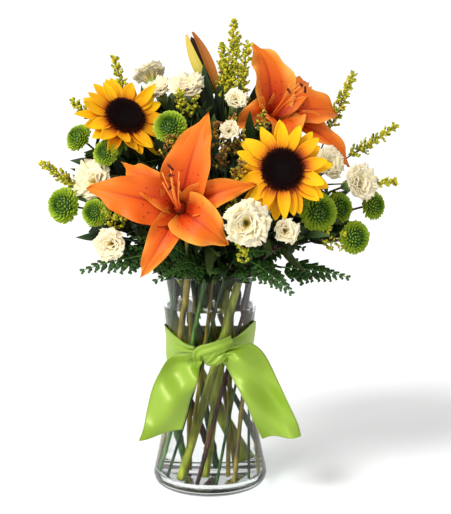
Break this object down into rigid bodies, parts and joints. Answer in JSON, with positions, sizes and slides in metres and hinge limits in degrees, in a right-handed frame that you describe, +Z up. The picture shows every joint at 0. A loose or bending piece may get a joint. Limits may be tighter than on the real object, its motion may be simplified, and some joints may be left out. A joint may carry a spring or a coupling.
{
  "type": "vase of sunflowers",
  "caption": "Hand-tied mixed bouquet with small sunflowers, orange lilies, ivory carnations and green poms, in a clear waisted glass vase with a satin ribbon tied round it.",
  "frame": {"origin": "centre of the vase's flat underside", "axes": "+Z up along the vase's axis, -Y towards the bouquet's front, +X to its right seen from the front"},
  "size_m": [0.348, 0.2384, 0.465],
  "materials": {
    "vase_glass": "clear pressed soda-lime glass, polished",
    "water": "clear water",
    "satin_ribbon": "lime polyester satin, woven, soft gloss",
    "flower_stem": "fresh green stem, finely ribbed",
    "spray_stem": "thin fresh green stem",
    "sunflower_disc": "dark brown florets, matt and grainy",
    "sunflower_ray": "golden yellow petals, matt, ribbed along their length",
    "lily_tepal": "orange waxy petals with a fine grain and dark spots",
    "lily_stamen": "orange filaments with rust brown anthers",
    "lily_bud": "waxy, greenish yellow to orange",
    "carnation_petal": "ivory ruffled petals, matt",
    "pom_petal": "bright green small petals, matt",
    "goldenrod_floret": "tiny yellow florets on thin green stalks",
    "fern_leaf": "dark green leathery leaflets, slightly glossy"
  },
  "bodies": {
    "root": {"carnation_back_left": "carnation_petal", "carnation_back_mid": "carnation_petal", "carnation_back_right": "carnation_petal", "carnation_behind": "carnation_petal", "carnation_bud_mid": "carnation_petal", "carnation_bud_upper": "carnation_petal", "carnation_front": "carnation_petal", "carnation_front_small": "carnation_petal", "carnation_left": "carnation_petal", "carnation_low_left": "carnation_petal", "carnation_right": "carnation_petal", "carnation_right_far": "carnation_petal", "carnation_stem_front": "spray_stem", "carnation_stem_left": "spray_stem", "carnation_stem_right": "spray_stem", "carnation_stem_top": "spray_stem", "carnation_top": "carnation_petal", "carnation_top_back": "carnation_petal", "carnation_top_left": "carnation_petal", "fern_back_left": "fern_leaf", "fern_back_right": "fern_leaf", "fern_front": "fern_leaf", "fern_left": "fern_leaf", "fern_right": "fern_leaf", "goldenrod_back": "goldenrod_floret", "goldenrod_left": "goldenrod_floret", "goldenrod_left_high": "goldenrod_floret", "goldenrod_right": "goldenrod_floret", "goldenrod_top": "goldenrod_floret", "lily_back_stamens": "lily_stamen", "lily_back_stem": "flower_stem", "lily_back_tepals": "lily_tepal", "lily_bud": "lily_bud", "lily_front_stamens": "lily_stamen", "lily_front_stem": "flower_stem", "lily_front_tepals": "lily_tepal", "pom_back_left": "pom_petal", "pom_back_mid": "pom_petal", "pom_back_right": "pom_petal", "pom_left_far": "pom_petal", "pom_left_high": "pom_petal", "pom_left_low": "pom_petal", "pom_left_mid": "pom_petal", "pom_mid": "pom_petal", "pom_right_dark": "pom_petal", "pom_right_far": "pom_petal", "pom_right_front": "pom_petal", "pom_right_low": "pom_petal", "pom_stem_back": "spray_stem", "pom_stem_left": "spray_stem", "pom_stem_right": "spray_stem", "ribbon": "satin_ribbon", "sunflower_left_head": "sunflower_disc", "sunflower_left_rays": "sunflower_ray", "sunflower_left_stem": "flower_stem", "sunflower_right_head": "sunflower_disc", "sunflower_right_rays": "sunflower_ray", "sunflower_right_stem": "flower_stem", "vase": "vase_glass", "water": "water"}
  },
  "joints": []
}
